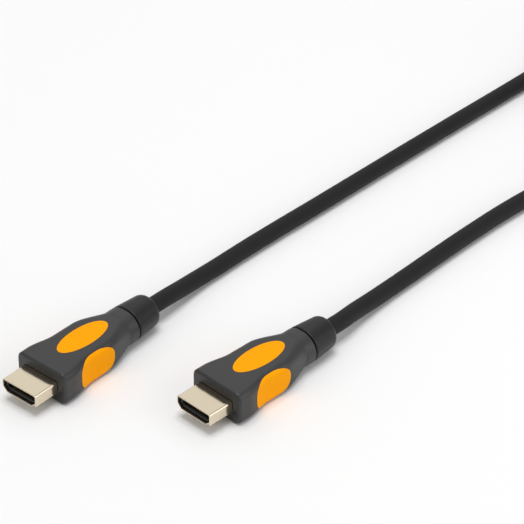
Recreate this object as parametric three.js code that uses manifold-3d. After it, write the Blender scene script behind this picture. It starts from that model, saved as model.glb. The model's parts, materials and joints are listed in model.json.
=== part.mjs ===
// HDMI cable: two identical moulded plugs on the ends of one round cable.
// The plugs lie side by side on the floor with their mouths towards -X, and the spare
// length of the cable is wound into a round coil held by two hook-and-loop ties.
// Millimetres, +Z up. Origin: on the floor, under the middle of the box round the two plugs.
import * as THREE from "three";
import { mergeVertices } from "three/addons/utils/BufferGeometryUtils.js";
import Module from "manifold-3d";

const wasm = await Module();
wasm.setup();

// Clearances
const SEAT_GAP = 0.3; // between two pieces that are moulded or pushed together

// Plug shell: a drawn metal tube with its two lower corners cut off
const SHELL_WIDTH = 13.9;
const SHELL_HEIGHT = 4.45;
const SHELL_WALL = 0.3;
const SHELL_REACH = 9.4; // from the overmould's front face to the mouth
const SHELL_TAIL = 3; // inside the overmould
const SHELL_CHAMFER = 1.7; // lower corners
const SHELL_CORNER = 0.6; // radius of the upper corners

// Contact carrier: the insulator inside the shell, with the slot for the socket's tongue
const CARRIER_SETBACK = 0.9; // behind the mouth
const SLOT_WIDTH = 11.2;
const SLOT_HEIGHT = 1.7;
const SLOT_DEPTH = 8;

// Contacts: flat strips on the slot's roof and floor
const CONTACT_PITCH = 1;
const CONTACT_WIDTH = 0.45;
const CONTACT_THICKNESS = 0.2;
const CONTACT_SETBACK = 0.8; // behind the carrier's front
const UPPER_CONTACTS = 10;
const LOWER_CONTACTS = 9;

// Overmould: a wide head, a waist that the side inserts fill, a taper, a neck and a flange
const HEAD_WIDTH = 20.2;
const HEAD_LENGTH = 4;
const SHOULDER_LENGTH = 9.7;
const WAIST_WIDTH = 17;
const BODY_HEIGHT = 11.3;
const BODY_CORNER = 2.3; // radius of the four long edges
const FRONT_EDGE = 0.9; // radius round the front face
const TAPER_START = 21.3;
const TAPER_END = 36.3; // under the flange
const NECK_WIDTH = 11.9; // at the taper's end
const NECK_HEIGHT = 10.9;
const FLANGE_FOOT = 32.2;
const FLANGE_START = 33.4;
const FLANGE_WIDTH = 13;
const FLANGE_HEIGHT = 11.2;
const BODY_LENGTH = 37;

// Inserts: soft pads, two ellipses on the broad faces and two blunter ones wrapped over the sides
const INSERT_MIDDLE = 18.2; // from the front face, for the broad faces
const INSERT_LENGTH = 20.6;
const INSERT_WIDTH = 8.6;
const INSERT_THICKNESS = 1.2;
const SIDE_INSERT_MIDDLE = 15.7;
const SIDE_INSERT_LENGTH = 15.6;
const SIDE_INSERT_HEIGHT = 10.3;
const SIDE_INSERT_THICKNESS = 1.4;
const ELLIPSE = 2; // the power in |x/a|^n + |y/b|^n = 1 that draws an insert's outline
const SIDE_INSERT_FRONT = 3.4;
const SIDE_INSERT_BACK = 2.3;

// Strain relief: a tapered boot behind the flange
const BOOT_LENGTH = 10.75;
const BOOT_WIDTH = 13;
const BOOT_HEIGHT = 11.2;
const BOOT_END_DIAMETER = 10.9;
const BOOT_END_ROUND = 2.1;

// Cable and coil
const CABLE_DIAMETER = 5.7;
const CABLE_SIDES = 10;
const COIL_MIDDLE = new THREE.Vector2(262, 7.3); // counted like the plugs' places
const COIL_INNER_TURN = 25.5; // radius of the innermost turn's middle line
const COIL_OUTER_TURN = 44.2;
const COIL_LAYERS = 2;
const TIE_WIDTH = 12;
const TIE_THICKNESS = 1;

// Where the two plugs lie and how far each is turned
const PLUG_A_PLACE = { x: -29.97, y: 43.87, turn: THREE.MathUtils.degToRad(2.95) };
const PLUG_B_PLACE = { x: 0, y: -0.46, turn: THREE.MathUtils.degToRad(-1.35) };

// The cable's middle line beyond each plug, chosen by hand and counted like COIL_MIDDLE
const RUN_A_POINTS = [
  [33, 47.9, 4.4], [42, 49, 3.4], [52, 49.6, 2.95], [64, 50.1, 2.9], [80, 50.4, 2.9], [100, 50.5, 2.9],
  [125, 50.8, 2.9], [150, 51.1, 2.9], [175, 51.3, 2.9], [200, 51.4, 2.9], [222, 51.5, 3.1], [238, 51.5, 3.8],
  [250, 51.5, 4.15],
];
const RUN_B_POINTS = [
  [63, -0.3, 4.4], [72, 0.6, 3.4], [82, 1.2, 2.95], [94, 1.6, 2.9], [108, 2.1, 2.9], [125, 2.5, 2.9],
  [142, 2.5, 2.9], [158, 1.6, 2.9], [174, -2, 3.2], [190, -7.6, 4.6], [206, -14.2, 6.6], [222, -21.9, 8.6],
  [236, -29.1, 9.7],
];
const RUN_STEP = 14; // length of one stretch of the run's tube

const BLACK_PLASTIC = { color: 0x4a4a4b, roughness: 0.5, metalness: 0 };
const MATERIALS = {
  shell: { color: 0xdccfb4, roughness: 0.3, metalness: 0.9 },
  carrier: { color: 0x1c1c1d, roughness: 0.6, metalness: 0 },
  contact: { color: 0xe0b860, roughness: 0.25, metalness: 1 },
  overmould: BLACK_PLASTIC,
  insert: { color: 0xffa800, roughness: 0.55, metalness: 0 },
  strainRelief: BLACK_PLASTIC,
  cable: { color: 0x2b2b2b, roughness: 0.65, metalness: 0 },
  tie: { color: 0x1a1a1a, roughness: 0.95, metalness: 0 },
};

const AXIS_HEIGHT = BODY_HEIGHT / 2;

// Turns a shape drawn in (Y, Z) and extruded along local Z into a solid along +X.
const ALONG_X = new THREE.Matrix4().makeBasis(
  new THREE.Vector3(0, 1, 0),
  new THREE.Vector3(0, 0, 1),
  new THREE.Vector3(1, 0, 0),
);
// Turns a shape drawn in (X, Z) and extruded along local Z into a solid along -Y.
const ALONG_MINUS_Y = new THREE.Matrix4().makeBasis(
  new THREE.Vector3(1, 0, 0),
  new THREE.Vector3(0, 0, 1),
  new THREE.Vector3(0, -1, 0),
);

function toSolid(geometry) {
  const bare = geometry.clone();
  bare.deleteAttribute("normal");
  bare.deleteAttribute("uv");
  const merged = mergeVertices(bare, 1e-4);
  return new wasm.Manifold(
    new wasm.Mesh({
      numProp: 3,
      vertProperties: new Float32Array(merged.attributes.position.array),
      triVerts: new Uint32Array(merged.index.array),
    }),
  );
}

function toGeometry(solid) {
  const mesh = solid.getMesh();
  const geometry = new THREE.BufferGeometry();
  geometry.setAttribute("position", new THREE.BufferAttribute(mesh.vertProperties, 3));
  geometry.setIndex(new THREE.BufferAttribute(mesh.triVerts, 1));
  geometry.computeVertexNormals();
  return geometry;
}

function named(name, geometry, finish) {
  const mesh = new THREE.Mesh(geometry, new THREE.MeshStandardMaterial(finish));
  mesh.name = name;
  return mesh;
}

const smooth = (t) => THREE.MathUtils.smoothstep(t, 0, 1);
const mix = THREE.MathUtils.lerp;

// A prism along X of a shape drawn in (Y, Z).
function prismAlongX(shape, start, end, curveSegments = 4) {
  const geometry = new THREE.ExtrudeGeometry(shape, {
    depth: end - start,
    bevelEnabled: false,
    curveSegments,
  });
  return geometry.applyMatrix4(ALONG_X).translate(start, 0, 0);
}

// Outline of the shell in (Y, Z), grown outwards by a margin.
function shellOutline(margin) {
  const side = SHELL_WIDTH / 2 + margin;
  const top = AXIS_HEIGHT + SHELL_HEIGHT / 2 + margin;
  const bottom = AXIS_HEIGHT - SHELL_HEIGHT / 2 - margin;
  const chamfer = SHELL_CHAMFER + margin * (2 - Math.SQRT2);
  const corner = Math.max(SHELL_CORNER + margin, 0.1);
  const shape = new THREE.Shape();
  shape.moveTo(-side + chamfer, bottom);
  shape.lineTo(side - chamfer, bottom);
  shape.lineTo(side, bottom + chamfer);
  shape.lineTo(side, top - corner);
  shape.absarc(side - corner, top - corner, corner, 0, Math.PI / 2);
  shape.lineTo(-side + corner, top);
  shape.absarc(-side + corner, top - corner, corner, Math.PI / 2, Math.PI);
  shape.lineTo(-side, bottom + chamfer);
  shape.closePath();
  return shape;
}

function makeShell() {
  const shape = shellOutline(0);
  shape.holes.push(shellOutline(-SHELL_WALL));
  return prismAlongX(shape, -SHELL_REACH, SHELL_TAIL);
}

const CARRIER_FRONT = CARRIER_SETBACK - SHELL_REACH;

function makeCarrier() {
  const outside = prismAlongX(shellOutline(-SHELL_WALL - SEAT_GAP), CARRIER_FRONT, SHELL_TAIL);
  const slot = new THREE.BoxGeometry(2 * SLOT_DEPTH, SLOT_WIDTH, SLOT_HEIGHT);
  slot.translate(CARRIER_FRONT, 0, AXIS_HEIGHT);
  return toGeometry(toSolid(outside).subtract(toSolid(slot)));
}

// One contact strip, against the slot's roof (side = 1) or floor (side = -1).
function makeContact(place, count, side) {
  const length = SLOT_DEPTH - CONTACT_SETBACK;
  const strip = new THREE.BoxGeometry(length, CONTACT_WIDTH, CONTACT_THICKNESS);
  const y = (place - (count - 1) / 2) * CONTACT_PITCH;
  const z = AXIS_HEIGHT + (side * (SLOT_HEIGHT - CONTACT_THICKNESS)) / 2;
  return strip.translate(CARRIER_FRONT + CONTACT_SETBACK + length / 2, y, z);
}

// A ring of points in the plane X = x: a rectangle with rounded corners, from its half sizes.
function roundedRing(x, halfWidth, halfHeight, corner, arcSteps = 5) {
  const round = Math.min(corner, halfWidth, halfHeight);
  const quarters = [[1, 1], [-1, 1], [-1, -1], [1, -1]];
  return quarters.flatMap(([ySign, zSign], quarter) =>
    Array.from({ length: arcSteps + 1 }, (_, i) => {
      const angle = ((quarter + i / arcSteps) * Math.PI) / 2;
      return new THREE.Vector3(
        x,
        ySign * (halfWidth - round) + round * Math.cos(angle),
        AXIS_HEIGHT + zSign * (halfHeight - round) + round * Math.sin(angle),
      );
    }),
  );
}

// A closed skin through rings of equally many points, with a flat cap on each end.
function loft(rings) {
  const count = rings[0].length;
  const middle = (ring) =>
    ring.reduce((sum, p) => sum.add(p), new THREE.Vector3()).divideScalar(count);
  const points = rings.flat().concat(middle(rings[0]), middle(rings.at(-1)));
  const firstMiddle = rings.length * count;
  const faces = [];
  for (let i = 0; i < count; i++) {
    const next = (i + 1) % count;
    for (let ring = 0; ring + 1 < rings.length; ring++) {
      const [a, b] = [ring * count + i, ring * count + next];
      faces.push(a, b, a + count, b, b + count, a + count);
    }
    const last = (rings.length - 1) * count;
    faces.push(firstMiddle, next, i, firstMiddle + 1, last + i, last + next);
  }
  const geometry = new THREE.BufferGeometry().setFromPoints(points);
  geometry.setIndex(faces);
  return geometry;
}

// The overmould's half width, half height and corner radius at a distance from its front.
function bodySection(x) {
  const shoulder = smooth((x - HEAD_LENGTH) / SHOULDER_LENGTH);
  const taper = smooth((x - TAPER_START) / (TAPER_END - TAPER_START));
  const inset = x < FRONT_EDGE ? FRONT_EDGE - Math.sqrt(FRONT_EDGE ** 2 - (FRONT_EDGE - x) ** 2) : 0;
  const width = mix(mix(HEAD_WIDTH, WAIST_WIDTH, shoulder), NECK_WIDTH, taper) / 2;
  const height = mix(BODY_HEIGHT, NECK_HEIGHT, taper) / 2;
  return [width - inset, height - inset, mix(BODY_CORNER, NECK_HEIGHT / 2, taper)];
}

function makeBodySkin() {
  const spread = (from, to, steps) =>
    Array.from({ length: steps }, (_, i) => from + ((to - from) * i) / steps);
  const stations = [
    ...spread(0, FRONT_EDGE, 3),
    FRONT_EDGE,
    ...spread(HEAD_LENGTH, HEAD_LENGTH + SHOULDER_LENGTH, 6),
    ...spread(HEAD_LENGTH + SHOULDER_LENGTH, TAPER_START, 3),
    ...spread(TAPER_START, FLANGE_FOOT, 6),
    FLANGE_FOOT,
  ];
  const rings = stations.map((x) => roundedRing(x, ...bodySection(x)));
  const flange = [FLANGE_WIDTH / 2, FLANGE_HEIGHT / 2, FLANGE_HEIGHT / 2];
  rings.push(roundedRing(FLANGE_START, ...flange), roundedRing(BODY_LENGTH, ...flange));
  return loft(rings);
}

// An upright or sideways prism that cuts an insert, or its seat, out of the body.
function padPrism(middle, length, width, [front, back], depth, sideways, steps = 40) {
  const outline = Array.from({ length: steps }, (_, i) => {
    const [x, y] = [Math.cos((2 * Math.PI * i) / steps), Math.sin((2 * Math.PI * i) / steps)];
    const power = 2 / (x < 0 ? front : back);
    const reach = (part, half) => Math.sign(part) * Math.abs(part) ** power * half;
    const rise = sideways ? AXIS_HEIGHT : 0;
    return new THREE.Vector2(middle + reach(x, length / 2), rise + reach(y, width / 2));
  });
  const geometry = new THREE.ExtrudeGeometry(new THREE.Shape(outline), { depth, bevelEnabled: false });
  return sideways ? geometry.applyMatrix4(ALONG_MINUS_Y) : geometry;
}

const BEYOND = 5; // how far a cutter stands out of what it cuts

// The cutters of the four inserts, grown all round by a margin.
function insertCutters(margin) {
  const depth = BEYOND + INSERT_THICKNESS + margin;
  const [length, width] = [INSERT_LENGTH + 2 * margin, INSERT_WIDTH + 2 * margin];
  const broad = () => padPrism(INSERT_MIDDLE, length, width, [ELLIPSE, ELLIPSE], depth, false);
  const sideDepth = BEYOND + SIDE_INSERT_THICKNESS + margin;
  const [sideLength, height] = [SIDE_INSERT_LENGTH + 2 * margin, SIDE_INSERT_HEIGHT + 2 * margin];
  const powers = [SIDE_INSERT_FRONT, SIDE_INSERT_BACK];
  const side = () => padPrism(SIDE_INSERT_MIDDLE, sideLength, height, powers, sideDepth, true);
  return {
    top: broad().translate(0, 0, BODY_HEIGHT - INSERT_THICKNESS - margin),
    bottom: broad().translate(0, 0, -BEYOND),
    left: side().translate(0, WAIST_WIDTH / 2 + BEYOND, 0),
    right: side().translate(0, -(WAIST_WIDTH / 2 - SIDE_INSERT_THICKNESS - margin), 0),
  };
}

function makeInserts(skin) {
  return Object.entries(insertCutters(0)).map(([place, cutter]) => [
    place,
    toGeometry(skin.intersect(toSolid(cutter))),
  ]);
}

function makeOvermould(skin) {
  const socket = prismAlongX(shellOutline(SEAT_GAP), -BEYOND, SHELL_TAIL + SEAT_GAP);
  let body = skin.subtract(toSolid(socket));
  for (const cutter of Object.values(insertCutters(SEAT_GAP))) body = body.subtract(toSolid(cutter));
  return toGeometry(body);
}

const BOOT_START = BODY_LENGTH + SEAT_GAP;
const BOOT_END = BOOT_START + BOOT_LENGTH;

function makeStrainRelief() {
  const end = BOOT_END_DIAMETER / 2;
  const straight = BOOT_LENGTH - BOOT_END_ROUND;
  const rings = [0, 0.25, 0.5, 0.75, 1].map((t) => {
    const [halfWidth, halfHeight] = [mix(BOOT_WIDTH / 2, end, t), mix(BOOT_HEIGHT / 2, end, t)];
    return roundedRing(BOOT_START + t * straight, halfWidth, halfHeight, end * 2);
  });
  for (const angle of [Math.PI / 6, Math.PI / 3, Math.PI / 2]) {
    const radius = end - BOOT_END_ROUND * (1 - Math.cos(angle));
    rings.push(roundedRing(BOOT_END - BOOT_END_ROUND * (1 - Math.sin(angle)), radius, radius, radius));
  }
  return loft(rings);
}

function makePlug(letter, place) {
  const plug = new THREE.Group();
  plug.position.set(place.x, place.y, 0);
  plug.rotation.z = place.turn;
  const skin = toSolid(makeBodySkin());
  plug.add(named(`shell_${letter}`, makeShell(), MATERIALS.shell));
  plug.add(named(`contact_carrier_${letter}`, makeCarrier(), MATERIALS.carrier));
  const rows = [[UPPER_CONTACTS, 1], [LOWER_CONTACTS, -1]];
  let number = 0;
  for (const [count, side] of rows)
    for (let place = 0; place < count; place++) {
      number += 1;
      const name = `contact_${letter}_${String(number).padStart(2, "0")}`;
      plug.add(named(name, makeContact(place, count, side), MATERIALS.contact));
    }
  plug.add(named(`overmould_${letter}`, makeOvermould(skin), MATERIALS.overmould));
  for (const [where, geometry] of makeInserts(skin))
    plug.add(named(`insert_${where}_${letter}`, geometry, MATERIALS.insert));
  plug.add(named(`strain_relief_${letter}`, makeStrainRelief(), MATERIALS.strainRelief));
  return plug;
}

// Coil: a ring whose section is the outline of its turns, grown by a margin.
const COIL_BASE = TIE_THICKNESS + SEAT_GAP;

function coilRing(margin) {
  const inner = COIL_INNER_TURN - CABLE_DIAMETER / 2 - margin;
  const outer = COIL_OUTER_TURN + CABLE_DIAMETER / 2 + margin;
  const bottom = COIL_BASE - margin;
  const top = COIL_BASE + COIL_LAYERS * CABLE_DIAMETER + margin;
  const round = CABLE_DIAMETER / 3;
  const corners = [[inner, bottom, 1, 1], [outer, bottom, -1, 1], [outer, top, -1, -1], [inner, top, 1, -1]];
  const profile = corners.flatMap(([r, z, inwards, upwards], i) => {
    const alongR = new THREE.Vector2(r + inwards * round, z);
    const alongZ = new THREE.Vector2(r, z + upwards * round);
    return i % 2 ? [alongR, alongZ] : [alongZ, alongR];
  });
  profile.push(profile[0].clone());
  const ring = new THREE.LatheGeometry(profile, 40).rotateX(Math.PI / 2);
  return ring.translate(COIL_MIDDLE.x, COIL_MIDDLE.y, 0);
}

// A tie is the stretch of a thin skin round the coil that one box cuts out.
function makeTie(side) {
  const radius = COIL_OUTER_TURN - COIL_INNER_TURN + 4 * CABLE_DIAMETER;
  const box = new THREE.BoxGeometry(radius, TIE_WIDTH, 2 * BODY_HEIGHT + 2 * CABLE_DIAMETER * COIL_LAYERS);
  const middle = (COIL_INNER_TURN + COIL_OUTER_TURN) / 2;
  box.translate(COIL_MIDDLE.x + side * middle, COIL_MIDDLE.y, 0);
  const skin = toSolid(coilRing(SEAT_GAP + TIE_THICKNESS)).subtract(toSolid(coilRing(SEAT_GAP)));
  return toGeometry(skin.intersect(toSolid(box)));
}

// The tube of one run, from the face of its strain relief to where it joins the coil.
function makeRun(place, points) {
  const mouth = (distance) =>
    new THREE.Vector3(distance, 0, AXIS_HEIGHT)
      .applyAxisAngle(new THREE.Vector3(0, 0, 1), place.turn)
      .add(new THREE.Vector3(place.x, place.y, 0));
  const start = BOOT_END + SEAT_GAP;
  const route = [mouth(start), mouth(start + CABLE_DIAMETER), ...points.map((p) => new THREE.Vector3(...p))];
  const path = new THREE.CatmullRomCurve3(route, false, "centripetal");
  const section = new THREE.Shape();
  section.absarc(0, 0, CABLE_DIAMETER / 2, 0, 2 * Math.PI);
  const tube = new THREE.ExtrudeGeometry(section, {
    steps: Math.round(path.getLength() / RUN_STEP),
    extrudePath: path,
    curveSegments: CABLE_SIDES / 2,
  });
  return toGeometry(toSolid(tube).subtract(toSolid(coilRing(SEAT_GAP))));
}

const plugs = new THREE.Group();
plugs.add(makePlug("a", PLUG_A_PLACE), makePlug("b", PLUG_B_PLACE));

const cable = new THREE.Group();
cable.add(
  named("cable_run_a", makeRun(PLUG_A_PLACE, RUN_A_POINTS), MATERIALS.cable),
  named("cable_coil", coilRing(0), MATERIALS.cable),
  named("cable_run_b", makeRun(PLUG_B_PLACE, RUN_B_POINTS), MATERIALS.cable),
  named("coil_tie_1", makeTie(-1), MATERIALS.tie),
  named("coil_tie_2", makeTie(1), MATERIALS.tie),
);

const hdmiCable = new THREE.Group();
const middle = new THREE.Box3().setFromObject(plugs, true).getCenter(new THREE.Vector3());
hdmiCable.position.set(-middle.x, -middle.y, 0);
hdmiCable.add(plugs, cable);

export default new THREE.Group().add(hdmiCable);
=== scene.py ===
# %% [markdown]
# # A digital video cable with two plugs, dressed for its portrait
# This file is a lesson in cells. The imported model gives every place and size, and each cell adds
# one piece or one finish on top of it. Lengths are written in millimetres, as a connector maker
# would, and are turned into metres by one factor when a mesh is made.

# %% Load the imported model
import json

import bpy
import numpy as np
from mathutils import Matrix, Vector


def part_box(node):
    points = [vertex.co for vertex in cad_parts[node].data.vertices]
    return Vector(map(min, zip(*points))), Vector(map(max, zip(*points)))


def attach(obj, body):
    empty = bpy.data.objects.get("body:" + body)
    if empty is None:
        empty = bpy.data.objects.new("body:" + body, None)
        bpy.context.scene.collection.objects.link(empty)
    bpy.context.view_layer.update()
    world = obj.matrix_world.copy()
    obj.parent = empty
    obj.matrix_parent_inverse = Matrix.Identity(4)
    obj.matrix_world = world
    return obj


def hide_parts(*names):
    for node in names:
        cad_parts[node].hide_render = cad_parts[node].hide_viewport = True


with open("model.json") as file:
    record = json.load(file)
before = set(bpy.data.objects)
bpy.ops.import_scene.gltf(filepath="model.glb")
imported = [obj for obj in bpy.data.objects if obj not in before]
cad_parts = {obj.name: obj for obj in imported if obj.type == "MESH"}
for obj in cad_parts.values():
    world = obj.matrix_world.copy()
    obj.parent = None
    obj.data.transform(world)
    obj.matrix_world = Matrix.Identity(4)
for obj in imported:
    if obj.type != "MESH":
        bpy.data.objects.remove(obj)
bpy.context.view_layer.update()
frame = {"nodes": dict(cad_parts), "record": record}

MM = 0.001
print("nodes in the frame:", len(frame["nodes"]))

# %% [markdown]
# ## Where each plug lies
# Both plugs are the same piece laid down twice. Each could be modelled where it lies, but then
# every formula would carry a turn in it. So a plug is worked out once in its own axes: x along the
# plug, counted from the overmould's front face towards the cable, y across it and z up. The
# record's mounts say where the mouth and the front face are, and that gives the place and the turn.

# %% Plug places
mounts = {mount["name"]: mount for mount in frame["record"]["mounts"]}
LETTERS = ("a", "b")


def plug_place(letter):
    """The plug's front middle on the floor, in mm, and its three axes as rows."""
    stop = mounts[f"plug_{letter}_stop_face"]
    mouth = mounts[f"plug_{letter}_mouth"]
    along = -np.array(stop["axis"])
    reach = (np.array(stop["pos_m"]) - np.array(mouth["pos_m"])) @ along
    front = (np.array(mouth["pos_m"]) + along * reach) / MM
    front[2] = 0
    return front, np.array([along, np.cross((0, 0, 1), along), (0, 0, 1)]), reach / MM


PLACES = {letter: plug_place(letter) for letter in LETTERS}
SHELL_REACH = PLACES["b"][2]


def to_frame(letter, points):
    """Turns points of a plug's own axes into the frame's: front + x along + y across + z up."""
    front, axes, _ = PLACES[letter]
    return front + np.asarray(points) @ axes


PLUG_B_FROM_TABLE_ZERO = (0, -0.46, 0)
TABLE = PLACES["b"][0] - PLUG_B_FROM_TABLE_ZERO  # the route and the camera are counted from here
BODY_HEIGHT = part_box("overmould_b")[1][2] / MM
AXIS_HEIGHT = BODY_HEIGHT / 2
for letter, (front, axes, _) in PLACES.items():
    turn = np.degrees(np.arctan2(axes[0][1], axes[0][0]))
    print(f"plug {letter}: front at {np.round(front, 2)} mm, turned {turn:.2f} degrees")

# %% [markdown]
# ## The camera
# The picture looks down on the two plugs from the front and a little from one side, through a long
# lens. An empty to look at would be the usual way to aim, but it leaves the roll open. Azimuth,
# elevation and roll written as three angles say all of it, and the lens follows from its focal
# length in pixels.

# %% Camera
PICTURE_WIDTH = 524
FOCAL_LENGTH_PIXELS = 2280.7
CAMERA_AZIMUTH = -46.94
CAMERA_ELEVATION = 34.77
CAMERA_ROLL = 0.43
CAMERA_PLACE = (-382.5, -376.3, 427.15)


def make_camera():
    azimuth, elevation, roll = np.radians([CAMERA_AZIMUTH, CAMERA_ELEVATION, CAMERA_ROLL])
    forward = np.array([
        -np.sin(azimuth) * np.cos(elevation),
        np.cos(azimuth) * np.cos(elevation),
        -np.sin(elevation),
    ])
    level = np.array([np.cos(azimuth), np.sin(azimuth), 0])
    lift = np.cross(level, forward)
    right = np.cos(roll) * level + np.sin(roll) * lift
    up = np.cross(right, forward)
    data = bpy.data.cameras.new("camera")
    data.sensor_width = 36
    data.lens = data.sensor_width * FOCAL_LENGTH_PIXELS / PICTURE_WIDTH
    data.clip_start, data.clip_end = 0.01, 50
    camera = bpy.data.objects.new("camera", data)
    turn = Matrix([list(right), list(up), list(-forward)]).transposed()
    place = (np.array(CAMERA_PLACE) + TABLE) * MM
    camera.matrix_world = Matrix.Translation(Vector(place)) @ turn.to_4x4()
    bpy.context.collection.objects.link(camera)
    bpy.context.scene.camera = camera
    return camera


make_camera()

# %% [markdown]
# ## Surfaces from two parameters
# Every new piece is a grid of points worked out at once with numpy: one parameter runs along the
# piece, the other round it. Moving primitives about by hand would be quicker for one plug, but a
# formula can be changed by a tenth of a millimetre and made again. The helper joins the grid's
# rows, closes its ends with a fan, turns the faces outwards and writes a UV map that counts real
# millimetres, so a pattern can follow the surface.

# %% Grid helper
def smooth(t):
    """The soft step 3t^2 - 2t^3 between 0 and 1."""
    t = np.clip(t, 0, 1)
    return t * t * (3 - 2 * t)


def mix(a, b, t):
    return a + (b - a) * t


def skin_faces(grid, ring):
    """Faces and UVs of one grid: quads between neighbouring rows and columns, and a fan at each end
    unless the rows are a ring too."""
    rows, columns = grid.shape[:2]
    row, column = (part.ravel() for part in np.indices((rows if ring else rows - 1, columns)))
    below, beside = (row + 1) % rows, (column + 1) % columns
    quads = np.stack([
        row * columns + column, row * columns + beside,
        below * columns + beside, below * columns + column,
    ], -1)
    along = np.linalg.norm(np.roll(grid, -1, axis=0) - grid, axis=2).mean(1)
    across = np.linalg.norm(np.roll(grid, -1, axis=1) - grid, axis=2).mean(0)
    v, u = np.cumsum(along) - along, np.cumsum(across) - across
    left, low = u[column], v[row]
    right, high = left + across[column], low + along[row]
    uv = np.stack([left, low, right, low, right, high, left, high], -1).reshape(-1, 2)
    if ring:
        return grid.reshape(-1, 3), quads.tolist(), uv
    points = np.concatenate([grid.reshape(-1, 3), [grid[0].mean(0), grid[-1].mean(0)]])
    around = np.arange(columns)
    onward = (around + 1) % columns
    middle, last = np.full(columns, rows * columns), (rows - 1) * columns
    fans = np.concatenate([
        np.stack([middle, onward, around], -1),
        np.stack([middle + 1, last + around, last + onward], -1),
    ])
    uv = np.concatenate([uv, np.zeros((fans.size, 2))])
    return points, quads.tolist() + fans.tolist(), uv


def volume_of(points, faces):
    """Six times the volume: the sum of a . (b x c) over the faces' triangles. On a closed skin that
    is inside out it is below zero."""
    corners = [face[i : i + 2] for face in faces for i in range(1, len(face) - 1)]
    first = np.repeat([face[0] for face in faces], [len(face) - 2 for face in faces])
    (b, c), a = points[np.array(corners).T], points[first]
    return np.einsum("ij,ij->", a, np.cross(b, c))


SHARP_ANGLE = 42  # degrees; a steeper edge keeps its crease in the shading


def make_piece(name, grids, material, body="root", ring=False):
    """One mesh from one or more closed grids of points, in mm, with its faces outwards."""
    points, faces, corners = [], [], []
    for grid in grids if isinstance(grids, list) else [grids]:
        new_points, new_faces, new_uv = skin_faces(grid, ring)
        if volume_of(new_points - new_points.mean(0), new_faces) < 0:
            new_points, new_faces, new_uv = skin_faces(grid[:, ::-1], ring)
        count = sum(map(len, points))
        points.append(new_points)
        faces += [[count + corner for corner in face] for face in new_faces]
        corners.append(new_uv)
    mesh = bpy.data.meshes.new(name)
    mesh.from_pydata((np.concatenate(points) * MM).tolist(), [], faces)
    mesh.polygons.foreach_set("use_smooth", np.ones(len(faces), bool))
    mesh.uv_layers.new(name="UVMap").data.foreach_set("uv", np.concatenate(corners).ravel())
    mesh.materials.append(material)
    mesh.update()
    mesh.set_sharp_from_angle(angle=np.radians(SHARP_ANGLE))
    piece = bpy.data.objects.new(name, mesh)
    bpy.context.collection.objects.link(piece)
    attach(piece, body)
    print(f"{name}: {len(mesh.vertices)} points, {len(faces)} faces")
    return piece


# %% [markdown]
# ## One outline for all sections
# Head, neck, shell, slot, boot and strap are all rounded rectangles. A curve with a bevel could
# draw each of them, but then no two would have the same number of points. Written as a small box
# of corner centres plus a radius times a direction, all of them have the same columns, so any two
# can be joined.

# %% Outline columns
def outline_columns(level_steps, upright_steps, arc, cut_below=False):
    """Columns round a rounded rectangle, from the +y side's upper corner over the top and round:
    where the corner's centre is, as a share of the half box, and the direction from it. Level and
    upright sides and arcs have the given numbers of steps. With cut_below the lower two corners
    are straight chamfers instead of arcs."""
    place, direction = [], []
    for quarter in range(4):
        angle = quarter * np.pi / 2 + np.linspace(0, np.pi / 2, arc + 1)
        turn = np.stack([np.cos(angle), np.sin(angle)], -1)
        if cut_below and quarter >= 2:
            share = np.linspace(0, 1, arc + 1)[:, None]
            turn = turn[0] * (1 - share) + turn[-1] * share
        corner = np.array([(1, 1), (-1, 1), (-1, -1), (1, -1)][quarter], float)
        onward = np.array([(-1, 1), (-1, -1), (1, -1), (1, 1)][quarter], float)
        count = level_steps if quarter % 2 == 0 else upright_steps
        share = np.linspace(0, 1, count + 1)[1:-1, None]
        place += [np.repeat(corner[None], arc + 1, 0), corner * (1 - share) + onward * share]
        direction += [turn, np.repeat(turn[-1:], count - 1, 0)]
    return np.concatenate(place), np.concatenate(direction)


def outline(x, half_width, half_height, radius, columns):
    """Rows of outlines: y = place * (half width - radius) + radius * direction, z likewise."""
    place, direction = columns
    x, half_width, half_height = (
        np.atleast_1d(value)[:, None] for value in (x, half_width, half_height)
    )
    radius = radius if np.ndim(radius) == 2 else np.atleast_1d(radius)[:, None]
    y = place[:, 0] * (half_width - radius) + radius * direction[:, 0]
    z = place[:, 1] * (half_height - radius) + radius * direction[:, 1]
    return np.stack([np.broadcast_to(x, y.shape), y, AXIS_HEIGHT + z], -1)


# %% [markdown]
# ## Materials
# The two plastics of the plug are satin mouldings. Under a lens a mould leaves a fine spark-eroded
# grain, and the gloss drifts a little from place to place. A painted map could show that, but it
# would have seams. Noise in the object's own space has none, so both come from one node group,
# built once and placed in each material with its own values.

# %% Material tools
def new_material(name, color, roughness, **sockets):
    material = bpy.data.materials.new(name)
    material.use_nodes = True
    shader = material.node_tree.nodes["Principled BSDF"]
    shader.inputs["Base Color"].default_value = (*color, 1)
    shader.inputs["Roughness"].default_value = roughness
    for socket, value in sockets.items():
        shader.inputs[socket.replace("_", " ")].default_value = value
    return material, material.node_tree, shader


def add_sockets(group, in_out, **kinds):
    for name, kind in kinds.items():
        socket_type = f"NodeSocket{kind}"
        group.interface.new_socket(name.replace("_", " "), in_out=in_out, socket_type=socket_type)


def maths(tree, operation, *values):
    """One maths node; a value is a number or another node's output."""
    node = tree.nodes.new("ShaderNodeMath")
    node.operation = operation
    for socket, value in zip(node.inputs, values):
        if isinstance(value, (int, float)):
            socket.default_value = value
        else:
            tree.links.new(value, socket)
    return node.outputs[0]


FINE_DETAIL = 3
BROAD_DETAIL = 4
BROAD_SCALE = 140  # per metre, so a patch of tone is about 7 mm wide
GRAIN_HEIGHT = 0.05


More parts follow.
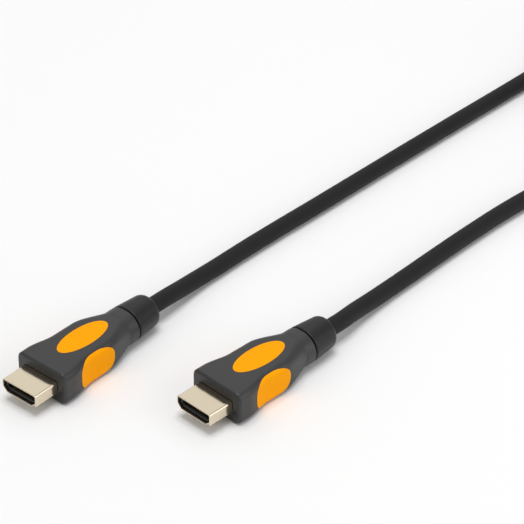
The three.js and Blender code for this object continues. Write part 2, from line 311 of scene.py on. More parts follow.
def make_grain_group():
    """Moulded grain: colour = base * (1 + tone noise), roughness = base + gloss noise, and a bump
    whose height is a fine noise of a given size."""
    group = bpy.data.node_groups.new("moulded_grain", "ShaderNodeTree")
    add_sockets(group, "INPUT", Color="Color", Roughness="Float", Grain_Size="Float",
                Grain_Depth="Float", Tone="Float", Gloss_Drift="Float")
    add_sockets(group, "OUTPUT", Color="Color", Roughness="Float", Normal="Vector")
    nodes, links = group.nodes, group.links
    entry, exit = nodes.new("NodeGroupInput"), nodes.new("NodeGroupOutput")
    place = nodes.new("ShaderNodeTexCoord")
    fine, broad = nodes.new("ShaderNodeTexNoise"), nodes.new("ShaderNodeTexNoise")
    fine.inputs["Detail"].default_value = FINE_DETAIL
    broad.inputs["Scale"].default_value = BROAD_SCALE
    broad.inputs["Detail"].default_value = BROAD_DETAIL
    for noise in (fine, broad):
        links.new(place.outputs["Object"], noise.inputs["Vector"])
    links.new(maths(group, "DIVIDE", 1, entry.outputs["Grain Size"]), fine.inputs["Scale"])
    bump = nodes.new("ShaderNodeBump")
    bump.inputs["Distance"].default_value = GRAIN_HEIGHT * MM
    links.new(entry.outputs["Grain Depth"], bump.inputs["Strength"])
    links.new(fine.outputs["Fac"], bump.inputs["Height"])

    def drift(source, amount, base):
        """base + (noise - 0.5) * amount, as two maths nodes."""
        return maths(group, "MULTIPLY_ADD", maths(group, "SUBTRACT", source, 0.5), amount, base)

    tone = drift(broad.outputs["Fac"], entry.outputs["Tone"], 1.0)
    paint = nodes.new("ShaderNodeVectorMath")
    paint.operation = "SCALE"
    links.new(entry.outputs["Color"], paint.inputs[0])
    links.new(tone, paint.inputs["Scale"])
    gloss = drift(fine.outputs["Fac"], entry.outputs["Gloss Drift"], entry.outputs["Roughness"])
    links.new(paint.outputs[0], exit.inputs["Color"])
    links.new(gloss, exit.inputs["Roughness"])
    links.new(bump.outputs[0], exit.inputs["Normal"])
    return group


GRAIN = make_grain_group()


def grained(name, color, roughness, size=0.22, depth=0.35, tone=0.35, drift=0.16, **sockets):
    """A material whose colour, roughness and normal come from the moulded grain. The size of the
    grain is in mm; tone and drift are how far the colour and the roughness wander."""
    material, tree, shader = new_material(name, color, roughness, **sockets)
    grain = tree.nodes.new("ShaderNodeGroup")
    grain.node_tree = GRAIN
    values = {
        "Color": (*color, 1), "Roughness": roughness, "Grain Size": size * MM,
        "Grain Depth": depth, "Tone": tone, "Gloss Drift": drift,
    }
    for socket, value in values.items():
        grain.inputs[socket].default_value = value
    tree.links.new(grain.outputs["Color"], shader.inputs["Base Color"])
    for socket in ("Roughness", "Normal"):
        tree.links.new(grain.outputs[socket], shader.inputs[socket])
    return material


OVERMOULD = grained("charcoal_overmould", (0.024, 0.024, 0.0248), 0.42)
# painted shade: the boot's base colour is a third of the overmould's, so the far end of the plug
# looks as dim as shade would make it
BOOT_PAINTED_SHADE = grained("charcoal_boot_painted_shade", (0.008, 0.008, 0.0084), 0.42, Specular_IOR_Level=0.38)
INSERT = grained(
    "amber_insert", (0.99, 0.37, 0.0), 0.55,
    size=0.18, depth=0.25, tone=0.10, drift=0.12, Specular_IOR_Level=0.05,
)
INSULATOR = grained(
    "black_insulator", (0.02, 0.02, 0.021), 0.5, size=0.2, depth=0.2, tone=0.2, drift=0.1,
)
SHELL_GOLD = grained(
    "pale_gold_plating", (0.76, 0.66, 0.50), 0.15,
    size=0.4, depth=0.04, tone=0.05, drift=0.08, Metallic=1.0,
)
CONTACT_GOLD = grained(
    "contact_gold", (0.85, 0.62, 0.25), 0.25,
    size=0.3, depth=0.05, tone=0.05, drift=0.1, Metallic=1.0,
)
print("moulded and plated materials:", len(bpy.data.materials))

# %% [markdown]
# ## Patterns that follow the surface
# The cable's jacket shows the twist of the wires inside it as long, very shallow ridges, and the
# ties are woven tape with a nap. Neither can come from a pattern fixed in space, because the
# surface bends away from it, so both read the UV map, whose numbers are millimetres across and
# along the piece. One group of ridges serves both: alone for the twist, crossed for the weave.

# %% Surface patterns
def make_ridge_group():
    """Ridges: 0.5 + 0.5 sin(2 pi (u * U Turns + v * V Turns)), with u and v in mm."""
    group = bpy.data.node_groups.new("uv_ridges", "ShaderNodeTree")
    add_sockets(group, "INPUT", U_Turns="Float", V_Turns="Float")
    add_sockets(group, "OUTPUT", Height="Float")
    entry, exit = group.nodes.new("NodeGroupInput"), group.nodes.new("NodeGroupOutput")
    uv, parts = group.nodes.new("ShaderNodeUVMap"), group.nodes.new("ShaderNodeSeparateXYZ")
    uv.uv_map = "UVMap"
    group.links.new(uv.outputs[0], parts.inputs[0])
    along = maths(group, "MULTIPLY", parts.outputs["Y"], entry.outputs["V Turns"])
    phase = maths(group, "MULTIPLY_ADD", parts.outputs["X"], entry.outputs["U Turns"], along)
    wave = maths(group, "SINE", maths(group, "MULTIPLY", phase, 2 * np.pi))
    group.links.new(maths(group, "MULTIPLY_ADD", wave, 0.5, 0.5), exit.inputs["Height"])
    return group


RIDGES = make_ridge_group()


def add_ridges(material, depth, *ridge_sets):
    """Multiplies the heights of one or two sets of ridges, (turns per mm across, turns per mm
    along), and lays them under the material's own grain. The depth is in mm."""
    tree = material.node_tree
    heights = []
    for across, along in ridge_sets:
        ridges = tree.nodes.new("ShaderNodeGroup")
        ridges.node_tree = RIDGES
        ridges.inputs["U Turns"].default_value = across
        ridges.inputs["V Turns"].default_value = along
        heights.append(ridges.outputs["Height"])
    height = heights[0] if len(heights) == 1 else maths(tree, "MULTIPLY", *heights)
    shader = tree.nodes["Principled BSDF"]
    bump = tree.nodes.new("ShaderNodeBump")
    bump.inputs["Strength"].default_value = 1
    bump.inputs["Distance"].default_value = depth * MM
    tree.links.new(height, bump.inputs["Height"])
    tree.links.new(shader.inputs["Normal"].links[0].from_socket, bump.inputs["Normal"])
    tree.links.new(bump.outputs[0], shader.inputs["Normal"])


JACKET = grained(
    "matte_jacket", (0.009, 0.009, 0.0094), 0.58,
    size=0.3, depth=0.5, tone=0.4, drift=0.2, Specular_IOR_Level=0.22,
)
JACKET_GIRTH = 17.9
JACKET_LAY = 26.0
JACKET_STRANDS = 3
JACKET_RIDGE = 0.035
add_ridges(JACKET, JACKET_RIDGE, (JACKET_STRANDS / JACKET_GIRTH, 1 / JACKET_LAY))
TIE_FABRIC = grained(
    "hook_and_loop", (0.016, 0.016, 0.017), 0.9, size=0.35, depth=1.0, tone=0.6, drift=0.1,
)
WEAVE_THREADS = 1.1
WEAVE_RIDGE = 0.25
add_ridges(TIE_FABRIC, WEAVE_RIDGE, (WEAVE_THREADS, 0.0), (0.0, WEAVE_THREADS))

# %% [markdown]
# ## The cable's route
# One cable joins both plugs. Out of the picture its spare length lies in a neat round coil: it
# comes in on the floor at the outside, winds inwards on the lower layer, climbs at the innermost
# turn and winds outwards again on the upper layer. A curve drawn by hand would give the look but
# not the length. Here the runs are a few points each, the turns come from a formula over the
# angle, and the number of turns sets the length.

# %% Cable route
CABLE_DIAMETER = 5.7
COIL_MIDDLE = (262, 7.3)
COIL_INNER_TURN = 25.5
COIL_OUTER_TURN = 44.2
COIL_TURNS = 6.5
COIL_EXTRA_DEGREES = 27
COIL_BASE = 1.3
CABLE_LIFT = 0.01
BOOT_START = 37.3
BOOT_LENGTH = 10.75
CABLE_START = BOOT_START + BOOT_LENGTH - 2.5
RUN_A_POINTS = [
    (33, 47.9, 4.4), (42, 49, 3.4), (52, 49.6, 2.95), (64, 50.1, 2.9), (80, 50.4, 2.9),
    (100, 50.5, 2.9), (125, 50.8, 2.9), (150, 51.1, 2.9), (175, 51.3, 2.9), (200, 51.4, 2.9),
    (222, 51.5, 3.1), (238, 51.5, 3.8), (250, 51.5, 4.15),
]
RUN_B_POINTS = [
    (63, -0.3, 4.4), (72, 0.6, 3.4), (82, 1.2, 2.95), (94, 1.6, 2.9), (108, 2.1, 2.9),
    (125, 2.5, 2.9), (142, 2.5, 2.9), (158, 1.6, 2.9), (174, -2, 3.2), (190, -7.6, 4.6),
    (206, -14.2, 6.6), (222, -21.9, 8.6), (236, -29.1, 9.7),
]
COIL_START_DEGREES = 90
COIL_TURN_ROUNDING = 0.02
COIL_CLIMB_DEGREES = 90
ROUTE_STEP = 2.0
BOOT_INSIDE = 8.2


def coil_points(per_turn=20):
    """Points of the coil: angle = start - t * total turn; radius = outer at both ends and inner
    half way, where |2t - 1| is rounded off; height = lower layer, then a soft step to the upper."""
    total = COIL_TURNS * 360 + COIL_EXTRA_DEGREES
    t = np.linspace(0, 1, int(per_turn * total / 360) + 1)
    angle = np.radians(COIL_START_DEGREES - t * total)
    rounded = COIL_TURN_ROUNDING
    share = (np.hypot(2 * t - 1, rounded) - rounded) / (np.hypot(1, rounded) - rounded)
    radius = mix(COIL_INNER_TURN, COIL_OUTER_TURN, share)
    climb = COIL_CLIMB_DEGREES / total
    lower = COIL_BASE + CABLE_DIAMETER / 2
    height = lower + CABLE_DIAMETER * smooth((t - 0.5) / (2 * climb) + 0.5)
    middle = np.array(COIL_MIDDLE)
    return np.stack([
        middle[0] + radius * np.cos(angle), middle[1] + radius * np.sin(angle), height,
    ], -1)


def through(points, spacing):
    """A smooth line through points: on each stretch the cubic that has the neighbours' chord as its
    slope, then resampled so that its points lie evenly."""
    points = np.asarray(points, float)
    length = np.concatenate([[0], np.cumsum(np.linalg.norm(np.diff(points, axis=0), axis=1))])
    slope = np.gradient(points, length, axis=0)
    at = np.linspace(0, length[-1], int(length[-1] / spacing * 3))
    i = np.clip(np.searchsorted(length, at, side="right") - 1, 0, len(points) - 2)
    span = length[i + 1] - length[i]
    t = ((at - length[i]) / span)[:, None]
    span = span[:, None]
    line = (
        (2 * t**3 - 3 * t**2 + 1) * points[i] + (t**3 - 2 * t**2 + t) * span * slope[i]
        + (3 * t**2 - 2 * t**3) * points[i + 1] + (t**3 - t**2) * span * slope[i + 1]
    )
    travelled = np.concatenate([[0], np.cumsum(np.linalg.norm(np.diff(line, axis=0), axis=1))])
    even = np.linspace(0, travelled[-1], int(travelled[-1] / spacing) + 1)
    return np.stack([np.interp(even, travelled, line[:, k]) for k in range(3)], -1)


def cable_route():
    start_a, start_b = (
        to_frame(letter, [(x, 0, AXIS_HEIGHT) for x in (CABLE_START, CABLE_START + BOOT_INSIDE)])
        for letter in LETTERS
    )
    middle = np.concatenate([RUN_A_POINTS, coil_points(), RUN_B_POINTS[::-1]]) + TABLE
    line = through(np.concatenate([start_a, middle, start_b[::-1]]), ROUTE_STEP)
    line[:, 2] = np.maximum(line[:, 2], CABLE_DIAMETER / 2 + CABLE_LIFT)
    return line


route = cable_route()

# %% [markdown]
# ## The cable's skin
# A round section is carried along the route. A bevelled curve would do the same, but its UV map
# wouldn't count millimetres, and the twist of the jacket needs that. The section's side stays level
# from ring to ring, so the skin doesn't turn round the route.

# %% Tube along a line
def tube(line, radius, sides=28):
    """Rings of radius * (cos u * side + sin u * up) round a line; up stays as near +z as it can."""
    tangent = np.gradient(line, axis=0)
    tangent /= np.linalg.norm(tangent, axis=1, keepdims=True)
    side = np.cross(tangent, (0, 0, 1))
    side /= np.linalg.norm(side, axis=1, keepdims=True)
    up = np.cross(side, tangent)
    u = np.linspace(0, 2 * np.pi, sides, endpoint=False)[None, :, None]
    return line[:, None] + radius * (np.cos(u) * side[:, None] + np.sin(u) * up[:, None])


cable = make_piece("cable", tube(route, CABLE_DIAMETER / 2), JACKET)
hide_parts("cable_run_a", "cable_coil", "cable_run_b")

# %% [markdown]
# ## The overmould's section
# The body is one soft moulding: a wide head, a waist, a taper to a round neck, and a flange. It
# could be cut from a block and smoothed, but its curves are plain when they are written down. Its
# section is a rounded rectangle whose width, height and corner radius change along the plug by
# soft steps.

# %% Body section
HEAD_WIDTH = 20.2
HEAD_LENGTH = 4
SHOULDER_LENGTH = 9.7
WAIST_WIDTH = 17
BODY_LENGTH = 37
BODY_CORNER = 2.3
FRONT_EDGE = 0.9
TAPER_START = 21.3
TAPER_END = 36.3
NECK_WIDTH = 11.9
NECK_HEIGHT = 10.9
FLANGE_FOOT = 32.2
FLANGE_START = 33.4
FLANGE_WIDTH = 13
FLANGE_HEIGHT = 11.2
FLANGE_EDGE = 0.5


def body_section(x):
    """Half width, half height and corner radius of the skin at x."""
    shoulder = smooth((x - HEAD_LENGTH) / SHOULDER_LENGTH)
    taper = smooth((x - TAPER_START) / (TAPER_END - TAPER_START))
    rise = smooth((x - FLANGE_FOOT) / (FLANGE_START - FLANGE_FOOT))
    width = mix(mix(HEAD_WIDTH, WAIST_WIDTH, shoulder), NECK_WIDTH, taper)
    width = mix(width, FLANGE_WIDTH, rise) / 2
    height = mix(mix(BODY_HEIGHT, NECK_HEIGHT, taper), FLANGE_HEIGHT, rise) / 2
    corner = mix(mix(BODY_CORNER, NECK_HEIGHT / 2, taper), FLANGE_HEIGHT / 2, rise)
    return width, height, np.minimum(corner, height)


def edge_inset(distance, radius):
    """How far a rounded edge stands back at distance d from the face: r - sqrt(r^2 - (r - d)^2)."""
    left = np.clip(radius - distance, 0, radius)
    return radius - np.sqrt(radius**2 - left**2)


# %% [markdown]
# ## Where the pads sit
# Four amber pads are let into the body, two ellipses on the broad faces and two on the sides that
# are blunter in front. Each has an outline in its own two directions, and the recess in the skin is
# the same outline, a little smaller, so that the pad's lip covers its rim. A Boolean cut would
# leave long thin faces; here the skin's own points are moved in instead.

# %% Pads and recesses
RECESS_MARGIN = -0.3
INSERT_SINK = 0.7
FACE_PAD = dict(middle=18.2, length=20.6, powers=(2, 2), axis=2)
SIDE_PAD = dict(middle=15.7, length=15.6, powers=(3.4, 2.3), axis=1)
INSERTS = {
    "top": dict(FACE_PAD, width=8.6, side=1, crown=0.12),
    "bottom": dict(FACE_PAD, width=8.6, side=-1, crown=-0.05),
    "left": dict(SIDE_PAD, width=9.6, side=1, crown=0.04),
    "right": dict(SIDE_PAD, width=10.3, side=-1, crown=0.04),
}


def pad_reach(x, across, insert, margin=0):
    """How far outside the pad's outline a point is, and the direction straight away from it. With
    p and q its shares of the half sizes and f = (|p|^n + |q|^n)^(1/n), the distance is
    (f - 1) / |gradient of f|."""
    a, b = insert["length"] / 2 + margin, insert["width"] / 2 + margin
    p, q = (x - insert["middle"]) / a, across / b
    power = np.where(p < 0, *insert["powers"])
    size_p, size_q = np.abs(p) + 1e-9, np.abs(q) + 1e-9
    f = (size_p**power + size_q**power) ** (1 / power)
    slope_x = np.sign(p) * (size_p / f) ** (power - 1) / a
    slope_across = np.sign(q) * (size_q / f) ** (power - 1) / b
    steep = np.hypot(slope_x, slope_across)
    return (f - 1) / steep, slope_x / steep, slope_across / steep


def skin_point(x, across, insert):
    """The skin's point and outward direction over (x, across) on one face of the body. Past the
    flat part the skin falls away as r - sqrt(r^2 - past^2)."""
    width, height, corner = body_section(x)
    if insert["axis"] == 1:
        reach, limit = width, height - corner
    else:
        reach, limit = height, width - corner
    past = np.clip(np.abs(across) - limit, 0, corner * 0.999)
    drop = corner - np.sqrt(corner**2 - past**2)
    lean = np.sign(across) * past / corner
    face = np.sqrt(1 - lean**2)
    out = insert["side"] * (reach - drop)
    if insert["axis"] == 1:
        point = np.stack([x, out, AXIS_HEIGHT + across], -1)
        normal = np.stack([np.zeros_like(x), insert["side"] * face, lean], -1)
    else:
        point = np.stack([x, across, AXIS_HEIGHT + out], -1)
        normal = np.stack([np.zeros_like(x), lean, insert["side"] * face], -1)
    return point, normal


RIM_REACH = 0.25
RIM_HALF = 0.1
RIM_KEPT = 0.15
FACING_SHARE = 0.05


def sink_recess(grid, direction, insert):
    """Lowers the skin inside a pad's outline. Points near the outline are first slid along the
    skin to just inside or just outside it, so the rim is a clean curve and not grid steps."""
    facing = direction[:, insert["axis"] - 1] * insert["side"] > FACING_SHARE
    x, across = grid[..., 0], grid[..., 1] if insert["axis"] == 2 else grid[..., 2] - AXIS_HEIGHT
    outside, away_x, away_across = pad_reach(x, across, insert, RECESS_MARGIN)
    snapped = np.sign(outside) * (RIM_HALF + RIM_KEPT * (np.abs(outside) - RIM_REACH / 2))
    slide = np.where(np.abs(outside) < RIM_REACH, snapped - outside, 0)
    point, normal = skin_point(x + slide * away_x, across + slide * away_across, insert)
    sink = INSERT_SINK * smooth(0.5 - (outside + slide) / (2 * RIM_HALF))
    picked = (outside < RIM_REACH) & facing
    return np.where(picked[..., None], point - sink[..., None] * normal, grid)


# %% [markdown]
# ## The overmould's mesh
# The grid starts in the middle of the socket's floor, comes up round the shell, over the front
# face's rounded edge, along the body with its recesses, and ends behind the flange. One grid has
# no seams, so the shading runs on across all of it.

# %% Overmould
BODY_STEP = 0.2
SHELL_CLEARANCE = 0.05
SOCKET_EDGE = 0.2
SOCKET_DEPTHS = np.array([2.0, 1.0, 0.25, 0.0])
END_RADIUS = 2.0


def make_overmould(letter):
    """Rows of body sections; both rounded ends stand back by r - sqrt(r^2 - (r - d)^2)."""
    columns, shell_columns = (outline_columns(36, 84, 16, cut_below=cut) for cut in (False, True))
    x_edge = FRONT_EDGE * (1 - np.cos(np.linspace(0, np.pi / 2, 9)))
    x_body = np.arange(FRONT_EDGE + BODY_STEP, BODY_LENGTH - FLANGE_EDGE, BODY_STEP)
    x_end = BODY_LENGTH - FLANGE_EDGE * np.cos(np.linspace(0, np.pi / 2, 6))
    x = np.concatenate([x_edge, x_body, x_end])
    width, height, corner = body_section(x)
    inset = edge_inset(x, FRONT_EDGE) + edge_inset(BODY_LENGTH - x, FLANGE_EDGE)
    grid = outline(x, width - inset, height - inset, corner, columns)
    for insert in INSERTS.values():
        grid = sink_recess(grid, columns[1], insert)
    margin = np.where(SOCKET_DEPTHS > 0, SHELL_CLEARANCE, SOCKET_EDGE)
    socket = shell_outline(SOCKET_DEPTHS, margin, shell_columns)
    end = outline(BODY_LENGTH, END_RADIUS, END_RADIUS, END_RADIUS, columns)
    grid = np.concatenate([socket, grid, end])
    piece = make_piece(f"overmould_skin_{letter}", to_frame(letter, grid), OVERMOULD)
    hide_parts(f"overmould_{letter}")


# %% [markdown]
# ## The shell
# A drawn tube of thin plated metal. Its two lower corners are cut off, which keys the plug. It
# could be a sheet with a thickness added by a modifier, but then the lip would be square. The grid
# goes along the outside to the mouth, over the half-round lip and back inside, and closes there.

# %% Shell shape
SHELL_WIDTH = 13.9
SHELL_HEIGHT = 4.45
SHELL_WALL = 0.3
SHELL_TAIL = 3
SHELL_CHAMFER = 1.7
SHELL_CORNER = 0.6
SHELL_LEAST_CORNER = 0.1


def shell_outline(x, margin, columns):
    """The shell's outline grown by a margin m. Upper corners are arcs of radius r + m, lower ones
    chamfers that grow by (2 - sqrt 2) m, which keeps a slanted wall as thick as the others."""
    x, margin = np.atleast_1d(x), np.atleast_1d(margin)
    below = columns[1][:, 1] < 0
    below |= (columns[0][:, 1] < 0) & (columns[1][:, 1] <= 0)
    chamfer = SHELL_CHAMFER + margin * (2 - np.sqrt(2))
    corner = np.maximum(SHELL_CORNER + margin, SHELL_LEAST_CORNER)
    radius = np.where(below[None], chamfer[:, None], corner[:, None])
    return outline(x, SHELL_WIDTH / 2 + margin, SHELL_HEIGHT / 2 + margin, radius, columns)


def make_shell(letter):
    """Rows: outside at margin 0, half a turn over the lip, inside at minus the wall."""
    columns = outline_columns(10, 40, 10, cut_below=True)
    mouth, half = -SHELL_REACH, SHELL_WALL / 2
    angle = np.linspace(0, np.pi, 9)[1:-1]
    outside = np.linspace(SHELL_TAIL - 1, mouth + half, 14)
    x = np.concatenate([outside, mouth + half - half * np.sin(angle), outside[::-1]])
    margin = np.concatenate([
        np.zeros(len(outside)), -half + half * np.cos(angle), np.full(len(outside), -SHELL_WALL),
    ])
    grid = to_frame(letter, shell_outline(x, margin, columns))
    piece = make_piece(f"shell_skin_{letter}", grid, SHELL_GOLD, ring=True)
    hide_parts(f"shell_{letter}")


for letter in LETTERS:
    make_overmould(letter)
    make_shell(letter)

# %% [markdown]
# ## The amber pads
# Each pad is a soft coloured piece with a neck in its recess and a thin lip that lies on the skin
# round it, a little proud, with a rounded edge. It could be a copied and thickened patch of the
# body, but its edge would then be as coarse as the body's grid. Its own grid runs round its
# outline, so the edge is a clean curve, and every point is placed over the body's formula.

# %% Insert shape
INSERT_RIM = 0.16
INSERT_PROUD = 0.08
INSERT_LIP = 0.5
LIP_LIFT = 0.01
INSERT_COLUMNS = 120


def make_insert(letter, where):
    """Columns run round the outline. Rows go from the middle of its back out to the neck, up it,
    out under the lip, over the rounded rim and in to the middle of its face, whose level is
    proud + crown * (1 - share^2)."""
    insert = INSERTS[where]
    back = np.linspace(0.05, 1, 8)
    rim = np.linspace(0, np.pi / 2, 7)
    face = np.linspace(1, 0.03, 22)[1:]
    a, b = insert["length"] / 2, insert["width"] / 2
    inwards = np.concatenate([
        np.full(len(back) + 1, INSERT_LIP), INSERT_RIM * (1 - np.cos(rim)),
        np.full(len(face), INSERT_RIM),
    ])
    share = np.concatenate([back, np.ones(len(rim) + 1), face])
    level = np.concatenate([
        np.full(len(back), LIP_LIFT - INSERT_SINK), [LIP_LIFT],
        mix(LIP_LIFT, INSERT_PROUD, np.sin(rim)),
        INSERT_PROUD + insert["crown"] * (1 - face**2),
    ])
    turn = np.linspace(0, 2 * np.pi, INSERT_COLUMNS, endpoint=False)
    power = 2 / np.where(np.cos(turn) < 0, *insert["powers"])
    ahead, aside = (
        np.sign(part) * np.abs(part) ** power for part in (np.cos(turn), np.sin(turn))
    )
    x = insert["middle"] + (share * (a - inwards))[:, None] * ahead
    across = (share * (b - inwards))[:, None] * aside
    point, normal = skin_point(x, across, insert)
    grid = point + normal * level[:, None, None]
    piece = make_piece(f"insert_pad_{where}_{letter}", to_frame(letter, grid), INSERT)
    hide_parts(f"insert_{where}_{letter}")


for letter in LETTERS:
    for where in INSERTS:
        make_insert(letter, where)

# %% [markdown]
# ## Strain relief
# A short tapered boot, nearly oval where it meets the flange and round where the cable leaves it.
# Its base colour is darker than the overmould's, which paints in the shade on the far end of the
# plug.
# It could be a cone with rounded edges; a grid of outlines lets its section change from the one to
# the other, and its last rows turn in and close on the cable.

# %% Strain relief shape
BOOT_WIDTH = 13
BOOT_HEIGHT = 11.2
BOOT_END_DIAMETER = 10.9
BOOT_END_ROUND = 2.1
BOOT_FRONT_ROUND = 0.5
BOOT_MIDDLE_RADIUS = 2
CABLE_CLEARANCE = 0.08


def make_boot(letter):
    """Rows: half sizes go from the flange's to the end's in proportion to x, less two roundings."""
    columns = outline_columns(8, 8, 16)
    length = BOOT_LENGTH
    angle = np.linspace(0, np.pi / 2, 9)
    x = np.concatenate([
        BOOT_FRONT_ROUND * (1 - np.cos(angle)),
        np.linspace(BOOT_FRONT_ROUND, length - BOOT_END_ROUND, 30)[1:-1],
        length - BOOT_END_ROUND * (1 - np.sin(angle)),
    ])
    share = x / length
    inset = edge_inset(x, BOOT_FRONT_ROUND) + edge_inset(length - x, BOOT_END_ROUND)
    end = BOOT_END_DIAMETER / 2
    width = mix(BOOT_WIDTH / 2, end, share) - inset
    height = mix(BOOT_HEIGHT / 2, end, share) - inset
    grid = outline(BOOT_START + x, width, height, np.minimum(width, height), columns)
    hole = CABLE_DIAMETER / 2 + CABLE_CLEARANCE
    front = outline(BOOT_START, *[BOOT_MIDDLE_RADIUS] * 3, columns)
    back_x = BOOT_START + length + np.array([0, 0, -0.3, -1.2])
    back_r = hole + np.array([0.5, 0.15, 0, 0])
    back = outline(back_x, back_r, back_r, back_r, columns)
    grid = np.concatenate([front, grid, back])
    name = f"strain_relief_skin_{letter}"
    piece = make_piece(name, to_frame(letter, grid), BOOT_PAINTED_SHADE)
    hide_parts(f"strain_relief_{letter}")


for letter in LETTERS:
    make_boot(letter)

# %% [markdown]
# ## Ties
# Two hook-and-loop straps hold the coil. A strap is a flat band that goes once round all the turns
# and then lies over its own start. Cloth simulation would add nothing to a band that is pulled
# tight, so its flat section is carried round the coil's rounded outline, and a second, shorter
# band on top of it is the overlapping tail.

# %% Ties
TIE_WIDTH = 12.0
TIE_CORNER = 2.0
TIE_INSIDE = 0.25
TIE_BAND = 0.55
TIE_TAIL_NARROWER = 0.5
TIE_TAIL_COLUMNS = 44
TIE_TAIL_START = -24


def band_section(low, high, half_width):
    """A flat ring of eight points with short bevels: (place across, height above the turns)."""
    bevel = (high - low) * 0.3
    edge, flat = half_width, half_width - bevel
    across = np.array([edge, flat, -flat, -edge, -edge, -flat, flat, edge])
    foot, shoulder = low + bevel, high - bevel
    return across, np.array([foot, low, low, foot, shoulder, high, high, shoulder])


def tie_band(side, low, high, half_width, picked):
    """Outline of radius and height round the turns, grown by the section's height, times its width:
    rows go along the band and columns round its section."""
    inner = COIL_INNER_TURN - CABLE_DIAMETER / 2
    outer = COIL_OUTER_TURN + CABLE_DIAMETER / 2
    half_r, half_z = (outer - inner) / 2, CABLE_DIAMETER
    place, direction = (part[picked] for part in outline_columns(14, 30, 10))
    across, height = band_section(low, high, half_width)
    grow = (TIE_CORNER + height)[None, :]
    r = place[:, :1] * (half_r - TIE_CORNER) + grow * direction[:, :1]
    z = place[:, 1:] * (half_z - TIE_CORNER) + grow * direction[:, 1:]
    x = side * ((inner + outer) / 2 + r)
    y = np.broadcast_to(across, x.shape)
    return np.stack([x, y, COIL_BASE + half_z + z], -1) + np.array([*COIL_MIDDLE, 0]) + TABLE


def make_tie(number, side):
    low, high = TIE_INSIDE, TIE_INSIDE + TIE_BAND
    loop = tie_band(side, low, high, TIE_WIDTH / 2, slice(None))
    tail_columns = np.arange(TIE_TAIL_START, TIE_TAIL_START + TIE_TAIL_COLUMNS)
    tail_width = TIE_WIDTH - TIE_TAIL_NARROWER
    tail = tie_band(side, high, high + TIE_BAND, tail_width / 2, tail_columns)
    strap = make_piece(f"tie_strap_{number}", loop, TIE_FABRIC, ring=True)
    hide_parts(f"coil_tie_{number}")
    return [strap, make_piece(f"tie_tail_{number}", tail, TIE_FABRIC)]


ties = make_tie(1, -1) + make_tie(2, 1)

# %% [markdown]
# ## The cable's two ends
# The cable leaves plug A's strain relief, and its far end goes back into the same object at plug B.
# The ties hang from the same root as the cable, so they ride with it.

# %% [markdown]
# ## The insulator in the mouth
# A block of black plastic fills the shell and carries the contacts, with a slot for the socket's
# tongue. It could be a box with a second box cut out, but the slot's rim is bevelled so that the
# tongue finds its way in. One grid that comes up the outside, turns over the rim and goes down the
# slot has that bevel as one more row.

# %% Contact carrier
CARRIER_SETBACK = 0.9
CARRIER_GAP = 0.3
SLOT_WIDTH, SLOT_HEIGHT, SLOT_DEPTH = 11.2, 1.7, 8
CARRIER_FRONT = CARRIER_SETBACK - SHELL_REACH
CARRIER_EDGE = 0.2
SLOT_LEAD_IN = 0.3
SLOT_CORNER = 0.15
CARRIER_ROWS = 9


def make_carrier(letter):
    """Rows: back, outside with the shell's outline less wall and gap, a quarter round at the front,
    the bevel, and the slot's walls down to its floor."""
    columns = outline_columns(8, 30, 6, cut_below=True)
    angle = np.linspace(0, np.pi / 2, 5)
    x_outside = np.concatenate([
        np.linspace(SHELL_TAIL - CARRIER_GAP, CARRIER_FRONT + CARRIER_EDGE, CARRIER_ROWS + 1)[:-1],
        CARRIER_FRONT + CARRIER_EDGE * (1 - np.sin(angle)),
    ])
    rounding = np.concatenate([np.zeros(CARRIER_ROWS), CARRIER_EDGE * (1 - np.cos(angle))])
    margin = -SHELL_WALL - CARRIER_GAP - rounding
    grid = shell_outline(x_outside, margin, columns)
    x_slot = np.concatenate([
        [CARRIER_FRONT], CARRIER_FRONT + np.linspace(SLOT_LEAD_IN, SLOT_DEPTH, 10),
    ])
    grown = np.where(x_slot > CARRIER_FRONT, 0, SLOT_LEAD_IN)
    half_width, half_height = SLOT_WIDTH / 2 + grown, SLOT_HEIGHT / 2 + grown
    slot = outline(x_slot, half_width, half_height, SLOT_CORNER + grown, columns)
    grid = to_frame(letter, np.concatenate([grid, slot]))
    piece = make_piece(f"carrier_block_{letter}", grid, INSULATOR)
    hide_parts(f"contact_carrier_{letter}")


# %% [markdown]
# ## The contacts
# Nineteen gold-plated springs, ten above and nine below, one millimetre apart. Each leaves the
# wall, bows towards the tongue and goes back to the wall. An array modifier could repeat one, but
# one strip is a few numbers, so all nineteen grids are worked out and share one mesh.

# %% Contact strips
CONTACT_PITCH = 1.0
CONTACT_WIDTH, CONTACT_THICKNESS = 0.45, 0.2
CONTACT_SETBACK = 0.8
CONTACT_BOW = 0.22
CONTACT_BOW_SHARE = 0.66
CONTACT_SQUARENESS = 0.4
CONTACT_ROWS = ((10, 1), (9, -1))


def contact_grid(y, side):
    """Section points round (width, thickness) at heights wall - side * bow * sin^2, which is zero
    at the tip, highest at a third of the strip and zero again for its back third. The section is
    the superellipse sign(c) |c|^squareness of cosine and sine."""
    length = SLOT_DEPTH - CONTACT_SETBACK
    share = np.linspace(0, 1, 28)
    bow = CONTACT_BOW * np.sin(np.pi * np.clip(share / CONTACT_BOW_SHARE, 0, 1)) ** 2
    turn = np.linspace(0, 2 * np.pi, 12, endpoint=False)
    across, height = (
        size / 2 * np.sign(part) * np.abs(part) ** CONTACT_SQUARENESS
        for size, part in ((CONTACT_WIDTH, np.cos(turn)), (CONTACT_THICKNESS, np.sin(turn)))
    )
    middle = AXIS_HEIGHT + side * ((SLOT_HEIGHT - CONTACT_THICKNESS) / 2 - bow)
    x = (CARRIER_FRONT + CONTACT_SETBACK + share * length)[:, None] + 0 * across
    return np.stack([x, np.broadcast_to(y + across, x.shape), middle[:, None] + height], -1)


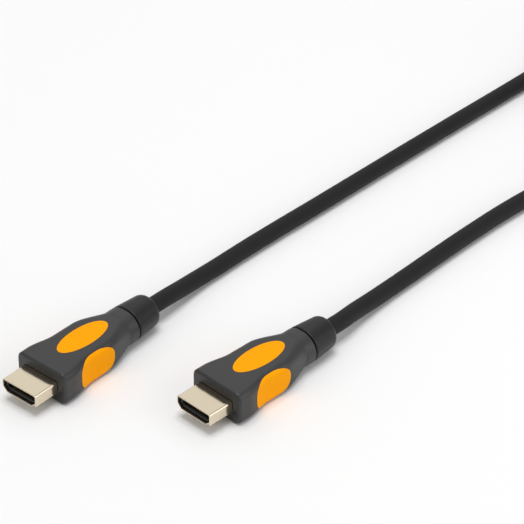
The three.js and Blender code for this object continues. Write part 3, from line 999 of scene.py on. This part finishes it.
def make_contacts(letter):
    grids = [
        to_frame(letter, contact_grid((place - (count - 1) / 2) * CONTACT_PITCH, side))
        for count, side in CONTACT_ROWS for place in range(count)
    ]
    piece = make_piece(f"contact_strips_{letter}", grids, CONTACT_GOLD)
    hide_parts(*(f"contact_{letter}_{number:02d}" for number in range(1, len(grids) + 1)))


for letter in LETTERS:
    make_carrier(letter)
    make_contacts(letter)

# %% [markdown]
# ## Floor
# A plain pale table. One flat square is enough, because its edge is never seen.

# %% Floor
def make_floor(size=12.0):
    mesh = bpy.data.meshes.new("floor")
    half = size / 2
    corners = [(-half, -half, 0), (half, -half, 0), (half, half, 0), (-half, half, 0)]
    mesh.from_pydata(corners, [], [(0, 1, 2, 3)])
    floor = bpy.data.objects.new("floor", mesh)
    bpy.context.collection.objects.link(floor)
    mesh.materials.append(new_material("pale_floor", (0.9, 0.9, 0.9), 0.9)[0])
    print("floor:", size, "m square")


make_floor()

# %% [markdown]
# ## Light
# The picture has soft light from all round. A white surrounding gives that, a lamp above makes the
# upper faces the brightest, one behind gives the gold and the dark plastic their sheen, and one at
# the right lifts the amber pads on the sides. A single sun would leave hard shadows.

# %% Lights
def make_area(name, place, target, size, power):
    data = bpy.data.lights.new(name, "AREA")
    data.size = size
    data.energy = power
    lamp = bpy.data.objects.new(name, data)
    lamp.location = place
    lamp.rotation_euler = (Vector(target) - Vector(place)).to_track_quat("-Z", "Y").to_euler()
    bpy.context.collection.objects.link(lamp)


make_area("overhead", (0.05, 0.0, 1.7), (0.05, 0, 0), 0.9, 15)
make_area("back softbox", (1.1, 1.0, 1.0), (0, 0, 0), 1.4, 2.6)
make_area("right softbox", (0.5, -1.2, 0.55), (0, 0, 0), 0.9, 4.4)

world = bpy.data.worlds.new("studio")
bpy.context.scene.world = world
world.use_nodes = True
surrounding = world.node_tree.nodes["Background"]
surrounding.inputs["Color"].default_value = (1, 1, 1, 1)
surrounding.inputs["Strength"].default_value = 0.5
bpy.context.scene.view_settings.view_transform = "Standard"
